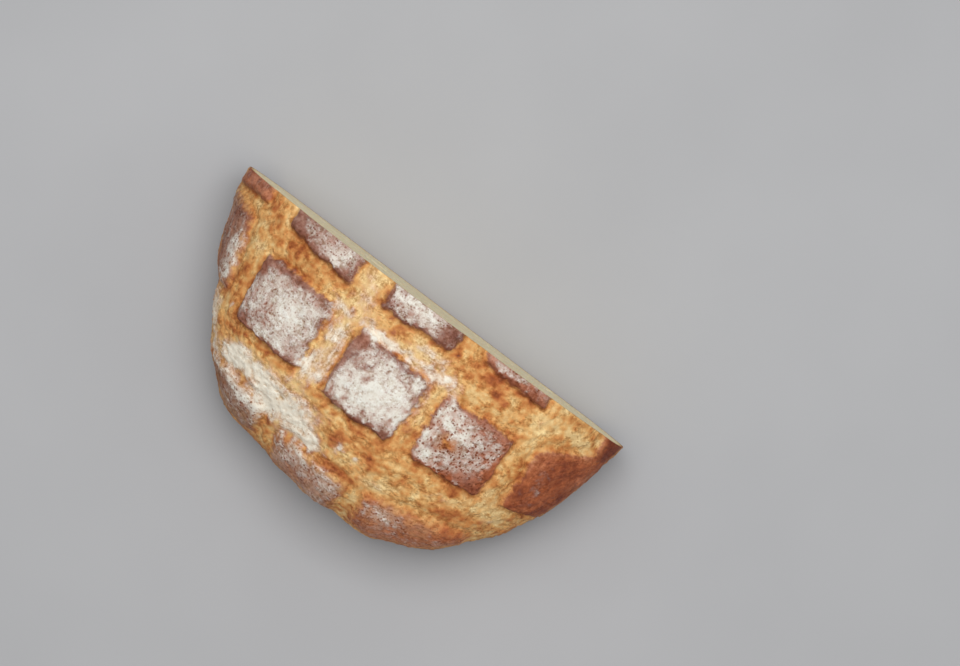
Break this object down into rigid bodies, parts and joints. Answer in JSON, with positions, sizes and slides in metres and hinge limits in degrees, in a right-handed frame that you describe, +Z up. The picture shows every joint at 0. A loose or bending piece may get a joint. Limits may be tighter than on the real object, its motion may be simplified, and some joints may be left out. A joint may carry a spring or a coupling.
{
  "type": "half miche",
  "caption": "Half of a round hearth loaf, with a slashed and floured crust and a flat cut face that shows the crumb, resting on its base.",
  "frame": {"origin": "middle of the bounding box, on the flat base that the half rests on", "axes": "+X along the cut, +Z up, and the cut face looks towards -Y"},
  "size_m": [0.2592, 0.13, 0.1115],
  "materials": {
    "crust": "matt"
  },
  "bodies": {
    "root": {"miche_half": "crust"}
  },
  "joints": []
}
